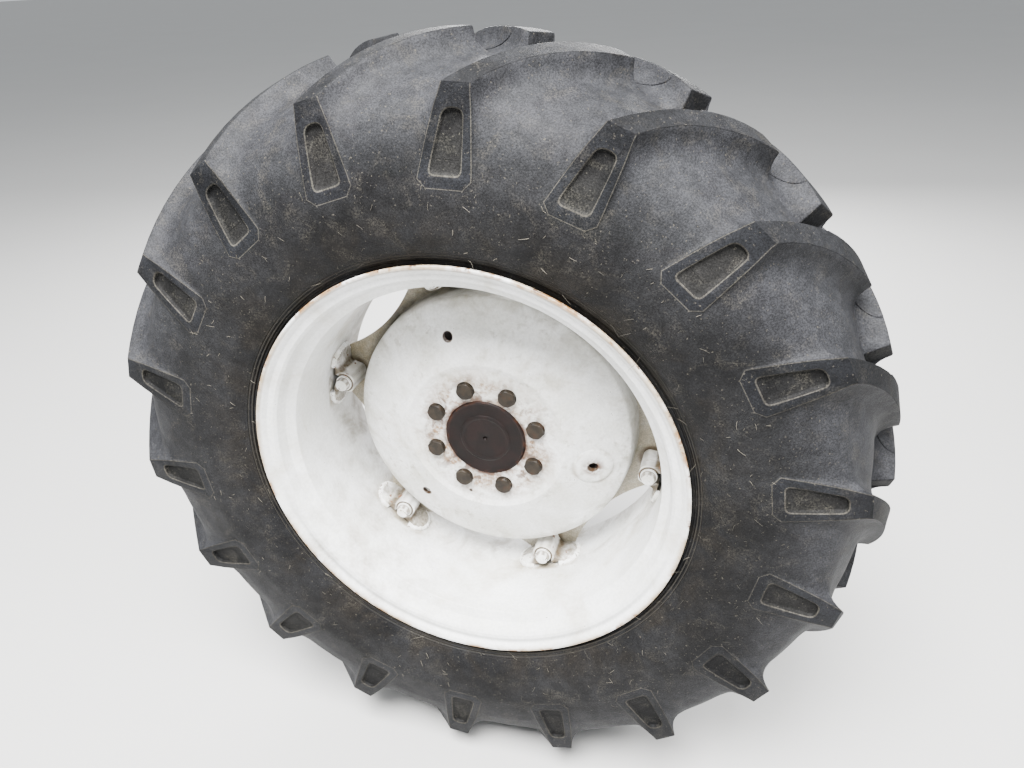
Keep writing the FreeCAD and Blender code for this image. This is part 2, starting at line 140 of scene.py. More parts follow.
def combined(piece, tool, operation="DIFFERENCE"):
    """Cuts the tool out of the piece, or grows them together. The tool is used up."""
    bpy.ops.object.select_all(action="DESELECT")
    piece.select_set(True)
    bpy.context.view_layer.objects.active = piece
    change = piece.modifiers.new("tool", "BOOLEAN")
    change.operation = operation
    change.object = tool
    change.solver = "EXACT"
    bpy.ops.object.modifier_apply(modifier=change.name)
    bpy.data.objects.remove(tool, do_unlink=True)


def bevelled(piece, width, angle=35, steps=2):
    """Small rounds, a width in millimetres, on the edges that are sharper than the angle."""
    bpy.ops.object.select_all(action="DESELECT")
    piece.select_set(True)
    bpy.context.view_layer.objects.active = piece
    bevel = piece.modifiers.new("edges", "BEVEL")
    bevel.width = width * mm
    bevel.segments = steps
    bevel.limit_method = "ANGLE"
    bevel.angle_limit = math.radians(angle)
    bpy.ops.object.modifier_apply(modifier=bevel.name)


def around(piece, name, turns):
    """Copies of a piece turned about the axle by angles in degrees, joined. The first angle moves the piece."""
    copies = []
    for turn in turns:
        copy = piece.copy()
        copy.data = piece.data.copy()
        bpy.context.collection.objects.link(copy)
        copy.data.transform(Matrix.Rotation(-math.radians(turn), 4, "Y"))
        copies.append(copy)
    bpy.data.objects.remove(piece, do_unlink=True)
    return joined(name, copies)


def node(tree, kind, inputs, **settings):
    """One shader node with its settings, and with each input joined to a socket or set to a value."""
    added = tree.nodes.new("ShaderNode" + kind)
    for key, value in settings.items():
        setattr(added, key, value)
    for key, value in inputs.items():
        if isinstance(value, bpy.types.NodeSocket):
            tree.links.new(value, added.inputs[key])
        else:
            added.inputs[key].default_value = value
    return added


def finish(name, metallic=0.0):
    """New material, with its shader and the place on the piece that its patterns are read from."""
    material = bpy.data.materials.new(name)
    material.use_nodes = True
    tree = material.node_tree
    shader = tree.nodes["Principled BSDF"]
    shader.inputs["Metallic"].default_value = metallic
    return material, shader, node(tree, "TexCoord", {}).outputs["Object"]


def clouds(place, scale, detail=4.0, sway=0.0):
    """Soft cloudy pattern between 0 and 1, with its blotches about 1/scale metres across."""
    values = {"Vector": place, "Scale": scale, "Detail": detail, "Roughness": 0.6, "Distortion": sway}
    return node(place.id_data, "TexNoise", values).outputs["Fac"]


def part_of(value, low, high):
    """0 below low, 1 above high and even between them. With low above high it runs the other way."""
    values = {"Value": value, "From Min": low, "From Max": high, "To Min": 0.0, "To Max": 1.0}
    return node(value.id_data, "MapRange", values, interpolation_type="SMOOTHSTEP").outputs["Result"]


def maths(operation, first, second=0.0, third=0.0):
    return node(first.id_data, "Math", {0: first, 1: second, 2: third}, operation=operation).outputs[0]


def both(*shares):
    """Share that is left where every one of the shares is there."""
    result = shares[0]
    for share in shares[1:]:
        result = maths("MULTIPLY", result, share)
    return result


def colour(share, first, second):
    """Colour that goes from the first to the second as the share goes from 0 to 1."""
    tree = share.id_data
    mixer = node(tree, "Mix", {0: share}, data_type="RGBA")
    for index, value in ((6, first), (7, second)):
        if isinstance(value, bpy.types.NodeSocket):
            tree.links.new(value, mixer.inputs[index])
        else:
            mixer.inputs[index].default_value = (*value, 1.0)
    return mixer.outputs[2]


def axle_distance(place):
    """Distance from the axle in metres."""
    flat = node(place.id_data, "VectorMath", {0: place, 1: (1.0, 0.0, 1.0)}, operation="MULTIPLY").outputs[0]
    return node(place.id_data, "VectorMath", {0: flat}, operation="LENGTH").outputs["Value"]


def along(place, axis):
    return node(place.id_data, "SeparateXYZ", {0: place}).outputs[axis]


def lit(base, factor):
    """Colour made darker or brighter by a factor."""
    return node(base.id_data, "VectorMath", {0: base, "Scale": factor}, operation="SCALE").outputs[0]


def coat(shader, base, roughness, height, depth):
    """Joins a colour, a roughness and a surface height, in metres, to the shader."""
    tree = shader.id_data
    tree.links.new(base, shader.inputs["Base Color"])
    tree.links.new(roughness, shader.inputs["Roughness"])
    bump = node(tree, "Bump", {"Height": height, "Strength": 1.0, "Distance": depth})
    tree.links.new(bump.outputs[0], shader.inputs["Normal"])


def number_range(share, low, high):
    values = {"Value": share, "From Min": 0.0, "From Max": 1.0, "To Min": low, "To Max": high}
    return node(share.id_data, "MapRange", values).outputs["Result"]


housing = turned("housing_casting", [
    (42.6, 178, 0.6), (204, 178, 2), (212, 186, 6), (212, 262, 3), (209, 266, 3), (212, 270, 3), (212, 279, 6),
    (204, 286, 5), (122, 286, 12), (70, 338, 26), (70, 468, 30), (94, 500, 10), (152, 500, 2), (155, 503, 2),
    (155, 518.5, 1), (153.5, 520, 1), (42.6, 520, 0.6), (42.6, 262, 1), (66, 262, 2), (66, 274, 4), (200, 274, 6),
    (200, 190, 6), (66, 190, 4), (66, 226, 2), (42.6, 226, 1),
], 144, 4)
mount_holes = [drum("mount_hole", 8.5, 480, 540, 130, 30 + 60 * index, 32) for index in range(6)]
combined(housing, joined("mount_holes", mount_holes))
smooth(housing)

red_casting, shader, place = finish("faded_red_casting")
fade = clouds(place, 14, 6)
base = colour(part_of(fade, 0.35, 0.7), (0.125, 0.022, 0.013), (0.20, 0.058, 0.038))
grime = part_of(clouds(place, 7, 9, 0.5), 0.46, 0.64)
base = colour(both(grime, number_range(clouds(place, 60, 5), 0.4, 1.1)), base, (0.035, 0.022, 0.014))
bare = part_of(clouds(place, 22, 9, 0.3), 0.62, 0.68)
base = colour(bare, base, (0.075, 0.032, 0.014))
# Near-black on the casing's front face, close behind the disc: painted shade, standing in for the dark behind the
# wheel.
shade_behind_disc = part_of(along(place, "Y"), -0.336, -0.341)
base = colour(shade_behind_disc, base, (0.009, 0.006, 0.005))
coat(shader, base, number_range(grime, 0.55, 0.85), clouds(place, 260, 4), 0.0014)
housing.data.materials.append(red_casting)
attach(housing, "axle_housing")
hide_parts("axle_housing")

# Axle shaft. A steel forging, bare and brown with old rust: a flange that carries the disc, with a pilot that
# shows in the disc's bore, a journal that turns in the housing, and a splined end for the final drive.
shaft = turned("shaft_forging", [
    (0.6, 148, 0), (3.2, 146, 0), (4.4, 142.8, 0.5), (39, 142.9, 1), (42, 141.8, 0.8), (46, 141.8, 0.8),
    (48.5, 143.2, 1), (70, 143.0, 2), (73.5, 142.0, 1.2), (76.2, 144.6, 0.8), (76.2, 152, 0.3), (130, 152, 1.5),
    (132, 154, 1.5), (132, 170, 2), (130, 172, 2), (48, 172, 5), (42.5, 177, 2), (42.5, 524, 1.5), (41, 526, 1),
    (29, 526, 1), (27.5, 528, 1), (27.5, 586, 1), (26, 588, 1), (4.4, 588, 1), (0.6, 584, 0),
])
grooves = []
for index in range(16):
    groove = drum("groove", 2.7, 534, 600, 27.9, 22.5 * index, 12)
    grooves.append(groove)
combined(shaft, joined("spline_grooves", grooves))
smooth(shaft)

brown_steel, shader, place = finish("oxidised_steel")
shader.inputs["Specular IOR Level"].default_value = 0.16
reach = axle_distance(place)
stain = clouds(place, 38, 8, 0.4)
base = colour(part_of(stain, 0.36, 0.66), (0.0024, 0.0010, 0.0008), (0.0062, 0.0026, 0.0021))
rust_rim = both(part_of(reach, 0.068, 0.0755), part_of(clouds(place, 70, 6), 0.42, 0.62))
base = colour(rust_rim, base, (0.026, 0.008, 0.003))
turning = maths("SINE", maths("MULTIPLY", reach, 4200.0))
coat(shader, base, number_range(stain, 0.42, 0.7),
     maths("ADD", maths("MULTIPLY", turning, 0.12), clouds(place, 420, 5)), 0.0005)
shaft.data.materials.append(brown_steel)
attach(shaft, "wheel")
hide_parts("axle_shaft")

# Disc. Pressed from 8 mm steel plate and painted off-white: a flat hub face with a low ridge round it, a shallow
# cone with three holes, a rolled edge, and a deep skirt whose flange ends in six ears, one for each clamp.
disc = turned("wheel_disc", [
    (76.6, 144.0, 1), (139, 144.0, 8), (150, 140.9, 7), (202, 157.5, 40), (246, 173.5, 8), (262, 182, 9),
    (264.6, 206, 10), (266, 240, 7), (325.5, 240, 1.4), (327, 241.5, 1.2), (327, 246.5, 1.2), (325.5, 248, 1.4),
    (257, 248, 11), (255, 188, 7), (243, 181.5, 9), (202, 165.8, 40), (150, 149.2, 7), (139, 152.0, 8),
    (76.6, 152.0, 1),
], 240)
ear_start = 48.5
ear_step = 60
clamp_circle = 302
ear_cuts = []
for index in range(6):
    ear_cuts.append(drum("ear_cut", 283, 228, 262, 561, ear_start + 30 + ear_step * index, 256))
combined(disc, joined("ear_cuts", ear_cuts))
hole_turns = [108.5 + 120 * index for index in range(3)]
hand_holes = [drum("hand_hole", 9, 120, 200, 202, turn, 40) for turn in hole_turns]
combined(disc, joined("hand_holes", hand_holes))
smooth(disc, 38)

bpy.ops.object.select_all(action="DESELECT")
boss_turn = 348.5
bpy.ops.mesh.primitive_circle_add(vertices=64, radius=9.2 * mm)
boss = bpy.context.object
boss.name = "pressed_boss"
bpy.ops.object.mode_set(mode="EDIT")
bpy.ops.mesh.select_all(action="SELECT")
reach_before = 9.2
for reach_now, rise in ((9.6, 1.6), (11, 2.2), (26, 2.3), (31, 1.7), (34.5, 0.4), (37, -0.8), (39, -3)):
    bpy.ops.mesh.extrude_edges_move()
    bpy.ops.transform.resize(value=(reach_now / reach_before,) * 3)
    reach_before = reach_now
bpy.ops.object.mode_set(mode="OBJECT")
for vertex in boss.data.vertices:
    reach_now = vertex.co.length / mm
    rise = -3.0
    for edge, height in ((37.5, -0.8), (35, 0.4), (32, 1.7), (27, 2.3), (11.5, 2.2), (9.9, 1.6), (9.3, -3)):
        if reach_now < edge:
            rise = height
    vertex.co.z = rise * mm
slope = math.atan2(16.6, 52)
boss.data.transform(Matrix.Rotation(math.radians(90), 4, "X"))
boss.data.transform(Matrix.Rotation(slope, 4, "Z"))
boss.data.transform(Matrix.Translation(Vector((202, 157.2 + lip_plane, 0)) * mm))
boss.data.transform(Matrix.Rotation(-math.radians(boss_turn), 4, "Y"))
smooth(boss, 50)



def from_clamp(place):
    """Distance in metres from the nearest clamp bolt's middle line."""
    turn = maths("SUBTRACT", maths("ARCTAN2", along(place, "Z"), along(place, "X")), math.radians(ear_start))
    turn = maths("WRAP", turn, math.radians(ear_step / 2), -math.radians(ear_step / 2))
    reach = axle_distance(place)
    side = maths("MULTIPLY", reach, maths("SINE", turn))
    out = maths("SUBTRACT", maths("MULTIPLY", reach, maths("COSINE", turn)), clamp_circle * mm)
    return maths("SQRT", maths("ADD", maths("MULTIPLY", side, side), maths("MULTIPLY", out, out)))


white_disc, shader, place = finish("disc_white_paint")
reach = axle_distance(place)
depth = along(place, "Y")
mottle = clouds(place, 10, 8, 0.3)
base = colour(part_of(mottle, 0.36, 0.66), (0.75, 0.75, 0.74), (0.60, 0.595, 0.555))
base = lit(base, number_range(part_of(clouds(place, 210, 6), 0.36, 0.64), 0.9, 1.03))
yellow = both(part_of(clouds(place, 12, 10, 0.8), 0.48, 0.72), number_range(clouds(place, 130, 4), 0.0, 1.0))
base = colour(yellow, base, (0.30, 0.26, 0.17))
fine_dirt = both(part_of(clouds(place, 75, 8), 0.52, 0.66), part_of(clouds(place, 8, 5), 0.42, 0.62))
base = colour(maths("MULTIPLY", fine_dirt, 0.5), base, (0.22, 0.19, 0.125))
hub_rust = both(part_of(reach, 0.158, 0.096), part_of(clouds(place, 27, 11, 0.7), 0.33, 0.58))
base = colour(both(hub_rust, number_range(part_of(clouds(place, 190, 6), 0.38, 0.62), 0.4, 1.0)), base, (0.20, 0.115, 0.055))
dark_rust = both(part_of(reach, 0.140, 0.094), part_of(clouds(place, 46, 11, 0.5), 0.50, 0.62))
base = colour(maths("MULTIPLY", dark_rust, 0.8), base, (0.07, 0.033, 0.015))
nick = node(place.id_data, "VectorMath", {0: place, 1: polar(128, -106, 144)}, operation="DISTANCE").outputs["Value"]
base = colour(part_of(nick, 0.0042, 0.0026), base, (0.03, 0.018, 0.011))
bore_rust = both(part_of(reach, 0.086, 0.0775), part_of(clouds(place, 50, 6), 0.3, 0.6))
base = colour(bore_rust, base, (0.05, 0.018, 0.007))
upper_left = part_of(maths("SUBTRACT", along(place, "Z"), along(place, "X")), -0.12, 0.22)
flange = part_of(depth, -0.2835, -0.2805)
dirty = maths("ADD", maths("MULTIPLY", upper_left, 0.2), 0.8)
soil = number_range(part_of(clouds(place, 30, 10, 0.5), 0.34, 0.62), 0.72, 1.0)
base = colour(both(flange, dirty, soil), base, (0.36, 0.30, 0.19))
base = lit(base, number_range(both(flange, part_of(clouds(place, 420, 5), 0.40, 0.6)), 1.0, 0.66))
# Dark brown ring on each ear round the end of its saddle's tunnel: a painted contact shadow where the saddle stands
# against the ear.
seat_shade_line = both(flange, part_of(from_clamp(place), 0.033, 0.022), number_range(clouds(place, 90, 6), 0.4, 1.3))
base = colour(seat_shade_line, base, (0.085, 0.055, 0.027))
groove = both(part_of(depth, -0.350, -0.290), part_of(reach, 0.292, 0.268), part_of(reach, 0.258, 0.262))
soiled = maths("ADD", maths("MULTIPLY", upper_left, 0.6), 0.4)
base = colour(both(groove, soiled, number_range(clouds(place, 34, 9), 0.3, 1.4)), base, (0.024, 0.020, 0.008))
edge_grime = both(part_of(reach, 0.215, 0.262), part_of(clouds(place, 19, 10, 0.8), 0.42, 0.72))
base = colour(maths("MULTIPLY", edge_grime, 0.5), base, (0.17, 0.145, 0.09))
hole = node(place.id_data, "VectorMath", {0: place, 1: polar(202, boss_turn, 158)}, operation="DISTANCE")
from_hole = hole.outputs["Value"]
hole_rust = both(part_of(from_hole, 0.026, 0.009), part_of(clouds(place, 60, 8, 0.5), 0.36, 0.6))
base = colour(hole_rust, base, (0.10, 0.04, 0.012))
boss_grime = both(part_of(from_hole, 0.044, 0.036), part_of(from_hole, 0.029, 0.035), part_of(clouds(place, 26, 6), 0.4, 0.6))
base = colour(maths("MULTIPLY", boss_grime, 0.6), base, (0.20, 0.155, 0.09))
flat = node(place.id_data, "VectorMath", {0: place, 1: (1.0, 0.0, 1.0)}, operation="MULTIPLY").outputs[0]
for hole_turn in hole_turns:
    middle = polar(202, hole_turn, 0)
    middle.y = 0
    apart = node(place.id_data, "VectorMath", {0: flat, 1: middle}, operation="DISTANCE").outputs["Value"]
    wall = part_of(apart, 0.0108, 0.0094)
    base = colour(both(wall, number_range(clouds(place, 160, 6), 0.5, 1.4)), base, (0.060, 0.032, 0.015))
specks = part_of(clouds(place, 210, 3), 0.715, 0.745)
base = colour(specks, base, (0.05, 0.032, 0.018))
coat(shader, base, number_range(mottle, 0.38, 0.58), clouds(place, 150, 5), 0.0006)
for piece in (disc, boss):
    piece.data.materials.append(white_disc)
    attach(piece, "wheel")
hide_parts("disc")

# Wheel bolts. Eight hexagon heads, 30 mm over the flats, forged with a round washer face and left bare, now dull
# olive brown. Their shanks go through the disc into the shaft's flange.


def hexagon(name, flats, start, end, circle, chamfer, washer, washer_height):
    """Bolt head or nut along the axle at angle 0, turned to a chamfer at its outer end, on a round washer."""
    across = flats / math.cos(math.radians(30))
    head = drum(name, across / 2, start, end - washer_height + 0.5, circle, 0, 6)
    bpy.ops.object.select_all(action="DESELECT")
    narrow = flats / 2 - 0.4
    length = 40
    bpy.ops.mesh.primitive_cone_add(
        vertices=48, radius1=(narrow + (across / 2 - narrow) * length / chamfer) * mm, radius2=narrow * mm,
        depth=length * mm, location=polar(circle, 0, start + length / 2), rotation=(math.radians(90), 0, 0))
    cone = bpy.context.object
    bpy.ops.object.transform_apply(location=True, rotation=True, scale=True)
    combined(head, cone, "INTERSECT")
    head = joined(name, [head, drum("washer", washer / 2, end - washer_height, end, circle, 0, 48)])
    bevelled(head, 0.5)
    smooth(head, 40)
    return head


wheel_bolt = hexagon("wheel_bolt", 30, 134, 144, 101.6, 3.3, 33.4, 2.2)
wheel_bolts = around(wheel_bolt, "wheel_bolt_heads", [18.4 + 45 * index for index in range(8)])

bolt_steel, shader, place = finish("olive_bolt_steel")
shader.inputs["Specular IOR Level"].default_value = 0.22
patina = clouds(place, 90, 8)
base = colour(part_of(patina, 0.35, 0.65), (0.0066, 0.0046, 0.0027), (0.0180, 0.0128, 0.0075))
base = colour(part_of(clouds(place, 60, 6), 0.52, 0.7), base, (0.025, 0.011, 0.0042))
coat(shader, base, number_range(patina, 0.42, 0.65), clouds(place, 500, 5), 0.0005)
wheel_bolts.data.materials.append(bolt_steel)
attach(wheel_bolts, "wheel")
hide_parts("wheel_bolts")

# Rim. Rolled from 5 mm steel strip, welded to a hoop and painted off-white: curled lips, two bead seats, and a
# straight barrel between them. Stones and tyre levers have bared and rusted its lips.
near_half = [
    (381, 1.6, 1.4), (380.4, 6.5, 2), (371, 13.5, 9), (357.4, 17.5, 3), (355.6, 22, 3), (353.6, 41.5, 3),
    (335.2, 51.5, 4),
]
near_inside = [
    (330.2, 48.8, 5), (344.6, 37.4, 4), (350.4, 18.2, 3), (355.6, 13.4, 3), (365.4, 10.4, 4), (371.2, 3.4, 3),
    (375.8, 0, 2.5), (379.6, 0, 1.2),
]
width = 337
rim = turned("rim_hoop", near_half + [(r, width - d, bend) for r, d, bend in reversed(near_half)]
             + [(r, width - d, bend) for r, d, bend in reversed(near_inside)] + near_inside, 240, 4)

white_rim, shader, place = finish("rim_white_paint")
reach = axle_distance(place)
mottle = clouds(place, 7, 8, 0.3)
base = colour(part_of(mottle, 0.36, 0.66), (0.74, 0.745, 0.74), (0.61, 0.61, 0.585))
base = lit(base, number_range(part_of(clouds(place, 170, 6), 0.36, 0.64), 0.9, 1.02))
yellow = both(part_of(clouds(place, 6, 10, 1.0), 0.5, 0.7), number_range(clouds(place, 90, 4), 0.0, 0.9))
base = colour(yellow, base, (0.33, 0.285, 0.19))
low_left = both(part_of(along(place, "Z"), 0.06, -0.25), part_of(along(place, "X"), 0.05, -0.25))
low_dust = both(low_left, part_of(clouds(place, 22, 10, 0.3), 0.34, 0.7), number_range(clouds(place, 160, 4), 0.1, 1.0))
base = colour(low_dust, base, (0.22, 0.19, 0.145))
clamp_dust = both(part_of(along(place, "Y"), -0.37, -0.30), part_of(clouds(place, 17, 9, 0.6), 0.44, 0.7))
base = colour(maths("MULTIPLY", clamp_dust, 0.7), base, (0.16, 0.13, 0.08))
# Thin darker bands at the lip's curl and the bead seat on the upper half, and in the lip's groove on the lower half:
# painted shade, laid where the curled lip turns away from the light.
upper = part_of(along(place, "Z"), -0.1, 0.25)
lower = part_of(along(place, "Z"), -0.02, -0.28)
curl_shade_line = both(upper, part_of(reach, 0.3722, 0.3748), part_of(reach, 0.3788, 0.3766))
seat_shade_line = both(upper, part_of(reach, 0.3560, 0.3515), part_of(reach, 0.3415, 0.3465))
groove_shade_line = both(lower, part_of(reach, 0.3595, 0.3625), part_of(reach, 0.3685, 0.3650))
base = lit(base, number_range(maths("MINIMUM", maths("ADD", curl_shade_line, groove_shade_line), 1.0), 1.0, 0.66))
base = lit(base, number_range(seat_shade_line, 1.0, 0.90))
beside_clamp = both(part_of(from_clamp(place), 0.085, 0.050), part_of(along(place, "Y"), -0.352, -0.345),
                    part_of(clouds(place, 40, 9, 0.6), 0.36, 0.6))
base = colour(maths("MULTIPLY", beside_clamp, 0.75), base, (0.20, 0.155, 0.085))
lip_stain = both(part_of(reach, 0.370, 0.379), part_of(clouds(place, 12, 9, 0.5), 0.38, 0.54))
base = colour(both(lip_stain, number_range(clouds(place, 120, 5), 0.3, 1.2)), base, (0.26, 0.175, 0.075))
lip_rust = both(part_of(reach, 0.3725, 0.3795), part_of(clouds(place, 28, 13, 0.3), 0.52, 0.60))
base = colour(both(lip_rust, number_range(clouds(place, 150, 5), 0.2, 1.5)), base, (0.19, 0.088, 0.020))
chips = both(part_of(reach, 0.377, 0.3808), part_of(clouds(place, 75, 8), 0.60, 0.64))
base = colour(chips, base, (0.06, 0.028, 0.014))
specks = part_of(clouds(place, 170, 3), 0.72, 0.745)
base = colour(specks, base, (0.045, 0.032, 0.02))
coat(shader, base, number_range(mottle, 0.34, 0.55), clouds(place, 120, 5), 0.0007)
rim.data.materials.append(white_rim)
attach(rim, "wheel")
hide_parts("rim")

# Rim lugs. Six saddles pressed from 7 mm plate, each a half-round tunnel for its bolt between two wings that are
# welded to the barrel by thick beads all round, painted over with the rim.


def lofted(name, rings):
    """Closed body drawn on from ring to ring, each ring a list of as many places."""
    bpy.ops.object.select_all(action="DESELECT")
    bpy.ops.mesh.primitive_circle_add(vertices=len(rings[0]), radius=1)
    body = bpy.context.object
    body.name = name
    for vertex, spot in zip(body.data.vertices, rings[0]):
        vertex.co = spot
    bpy.ops.object.mode_set(mode="EDIT")
    bpy.ops.mesh.select_all(action="SELECT")
    for ring in rings[1:]:
        bpy.ops.mesh.extrude_edges_move()
        bpy.ops.object.mode_set(mode="OBJECT")
        for vertex, spot in zip(body.data.vertices[-len(ring):], ring):
            vertex.co = spot
        bpy.ops.object.mode_set(mode="EDIT")
    bpy.ops.mesh.select_all(action="SELECT")
    bpy.ops.mesh.region_to_loop()
    bpy.ops.mesh.edge_face_add()
    bpy.ops.mesh.select_all(action="SELECT")
    bpy.ops.mesh.normals_make_consistent(inside=False)
    bpy.ops.object.mode_set(mode="OBJECT")
    return body


def saddle_outline(half_width, thickness, lift):
    """Section of a saddle at angle 0: (radius, sideways) corners with their bends."""
    top = 20 + lift
    bore = top - thickness
    wing = 322.5
    tip = math.sqrt(329.6 ** 2 - half_width ** 2)
    outer = [(tip - thickness, -half_width, 2), (wing - thickness, -top - 5, 6), (clamp_circle + 2, -top, 8),
             (clamp_circle - top + 1, -top + 2, 17), (clamp_circle - top + 1, top - 2, 17), (clamp_circle + 2, top, 8),
             (wing - thickness, top + 5, 6), (tip - thickness, half_width, 2)]
    inner = [(tip, half_width, 1), (wing, top + 7, 4), (wing, bore, 2), (clamp_circle - bore + 1, bore - 1, 11),
             (clamp_circle - bore + 1, -bore + 1, 11), (wing, -bore, 2), (wing, -top - 7, 4), (tip, -half_width, 1)]
    return rounded(outer + inner, 5)


saddle_rings = []
for depth, half_width, lift in (
        (181, 40, -1.2), (182.2, 43, 0), (186, 50, 0), (194, 57, 0), (203, 60, 0), (216, 60, 0), (226, 56, 0),
        (233, 49, 0), (236.8, 43, 0), (238, 40, -1.2)):
    saddle_rings.append([Vector((r, depth + lip_plane, side)) * mm for r, side in saddle_outline(half_width, 7, lift)])
saddle = lofted("rim_saddle", saddle_rings)
smooth(saddle, 40)

random.seed(14)
bead_runs = []
for side in (-1, 1):
    curve = bpy.data.curves.new("weld_bead", "CURVE")
    curve.dimensions = "3D"
    curve.bevel_depth = 6.0 * mm
    curve.bevel_resolution = 2
    spline = curve.splines.new("POLY")
    path = []
    for step in range(33):
        t = step / 32
        angle = math.pi * (t - 0.5)
        across = side * (28 + 34 * math.cos(angle) ** 0.7)
        path.append((across, 209.5 + 28.5 * math.sin(angle)))
    spline.points.add(len(path) - 1)
    for point, (across, depth) in zip(spline.points, path):
        rise = math.sqrt(330 ** 2 - across ** 2) - 1.5
        point.co = (rise * mm, (depth + lip_plane) * mm, across * mm, 1)
        point.radius = random.uniform(0.7, 1.15)
    run = bpy.data.objects.new("weld_bead", curve)
    bpy.context.collection.objects.link(run)
    bpy.ops.object.select_all(action="DESELECT")
    run.select_set(True)
    bpy.context.view_layer.objects.active = run
    bpy.ops.object.convert(target="MESH")
    run = bpy.context.object
    bpy.ops.object.mode_set(mode="EDIT")
    bpy.ops.mesh.select_all(action="SELECT")
    bpy.ops.mesh.region_to_loop()
    bpy.ops.mesh.edge_face_add()
    bpy.ops.mesh.select_all(action="SELECT")
    bpy.ops.mesh.normals_make_consistent(inside=False)
    bpy.ops.object.mode_set(mode="OBJECT")
    smooth(run, 60)
    bead_runs.append(run)
beads = joined("weld_beads", bead_runs)

white_saddle, shader, place = finish("clamp_white_paint")
mottle = clouds(place, 24, 8)
base = colour(part_of(mottle, 0.35, 0.68), (0.72, 0.715, 0.70), (0.56, 0.54, 0.48))
dirt = both(part_of(axle_distance(place), 0.290, 0.317), part_of(clouds(place, 30, 10, 0.7), 0.37, 0.55))
base = colour(both(dirt, number_range(clouds(place, 120, 5), 0.1, 1.3)), base, (0.10, 0.075, 0.036))
clamp_reach = from_clamp(place)
# Brown in the crease between each saddle's tunnel and its wings: dust, deepened further as painted shade in the crease.
crease_dust_and_shade = both(part_of(clamp_reach, 0.0205, 0.0235), part_of(clamp_reach, 0.040, 0.028))
crease_dust_and_shade = both(crease_dust_and_shade, number_range(clouds(place, 110, 7), 0.2, 1.5))
base = colour(crease_dust_and_shade, base, (0.085, 0.058, 0.029))
# Darker brown on each saddle's end round the bolt's washer and inside its tunnel: painted shade at the joint.
base = colour(part_of(clamp_reach, 0.0196, 0.0180), base, (0.06, 0.040, 0.020))
rust = part_of(clouds(place, 52, 9, 0.4), 0.61, 0.66)
base = colour(rust, base, (0.15, 0.055, 0.015))
coat(shader, base, number_range(mottle, 0.4, 0.62), clouds(place, 160, 6), 0.0005)

white_bolt, shader, place = finish("clamp_bolt_paint")
mottle = clouds(place, 60, 8)
base = colour(part_of(mottle, 0.40, 0.66), (0.80, 0.80, 0.785), (0.60, 0.585, 0.53))
clamp_reach = from_clamp(place)
# Dark ring where each bolt head and nut meets its washer: painted shade at the foot of the hexagon.
head_foot_shade = both(part_of(clamp_reach, 0.0108, 0.0118), part_of(clamp_reach, 0.0142, 0.0128))
base = colour(maths("MULTIPLY", head_foot_shade, 0.75), base, (0.10, 0.068, 0.034))
chips = part_of(clouds(place, 140, 7, 0.3), 0.60, 0.65)
base = colour(chips, base, (0.13, 0.085, 0.045))
coat(shader, base, number_range(mottle, 0.36, 0.55), clouds(place, 300, 5), 0.0003)

for number in range(1, 7):
    for part in (saddle, beads):
        copy = part.copy()
        copy.data = part.data.copy()
        bpy.context.collection.objects.link(copy)
        copy.name = "%s_%d" % (part.name, number)
        copy.data.transform(Matrix.Rotation(-math.radians(ear_start + ear_step * (number - 1)), 4, "Y"))
        copy.data.materials.append(white_saddle if part is saddle else white_bolt)
        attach(copy, "wheel")
        if part is saddle:
            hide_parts("rim_lug_%d" % number)
for part in (saddle, beads):
    bpy.data.objects.remove(part, do_unlink=True)

# Clamp bolts and nuts. Six bolts draw the disc's ears against the saddles. Their heads and washers stand at the
# saddles' outer ends and their nuts behind the ears, all painted over in off-white.
clamp_turns = [ear_start + ear_step * index for index in range(6)]
head = hexagon("clamp_bolt", 22, 166, 181, clamp_circle, 2.0, 30.5, 4)
clamp_heads = around(head, "clamp_bolt_heads", clamp_turns)
nut = hexagon("clamp_nut", 22, 248, 264, clamp_circle, 1.6, 30, 2.5)
thread = drum("thread_end", 7.8, 246, 270, clamp_circle, 0, 32)
nut = joined("clamp_nut", [nut, thread])
clamp_nuts = around(nut, "clamp_bolt_nuts", clamp_turns)
for piece, label in ((clamp_heads, "clamp_bolts"), (clamp_nuts, "clamp_nuts")):
    piece.data.materials.append(white_bolt)
    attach(piece, "wheel")
    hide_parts(label)

# Tyre. A bias farm tyre, size 14.9-28, moulded in black rubber over cord, its two beads on the rim. On each half
# of its tread stand eighteen lugs, moulded in one with it, that curve from a nose near the middle out to the
# shoulder, turn down there and end in a flat pad with a pocket in it.
half_section = [
    (647, 0, 0), (645, 52, 40), (636, 106, 90), (599, 162, 50), (560, 175.5, 60), (498, 187, 80), (430, 182.5, 50),
    (404, 171, 14), (392, 163, 4), (386, 157, 3), (372, 152, 3), (356.5, 150, 4), (356.5, 118, 3),
]
half_cavity = [(386, 124, 5), (470, 171, 30), (586, 146, 30), (626, 0, 0)]
tread_middle = 168.5
outer_side = [(r, tread_middle - s, bend) for r, s, bend in half_section + half_cavity]
inner_side = [(r, tread_middle + s, bend) for r, s, bend in reversed(half_section[1:] + half_cavity[:-1])]
carcass = turned("tyre_carcass", outer_side + inner_side, 180, 4)

lug_start = 84.4
lug_end = 173.5
lug_pitch = 20
nose_skew = 25


profile = [(tread_middle - depth, radius) for radius, depth in rounded(outer_side + inner_side, 4)]
outer_profile = [spot for spot in profile[:60] if spot[0] >= 0 and spot[1] > 390]


def foot_at(s=None, radius=None):
    """Place and radius on the carcass, for a place or for a radius."""
    for (s_a, r_a), (s_b, r_b) in zip(outer_profile, outer_profile[1:]):
        if s is not None and s_a <= abs(s) <= s_b:
            return s, r_a + (r_b - r_a) * (abs(s) - s_a) / (s_b - s_a)
        if radius is not None and r_b <= radius <= r_a:
            return s_a + (s_b - s_a) * (radius - r_a) / (r_b - r_a), radius


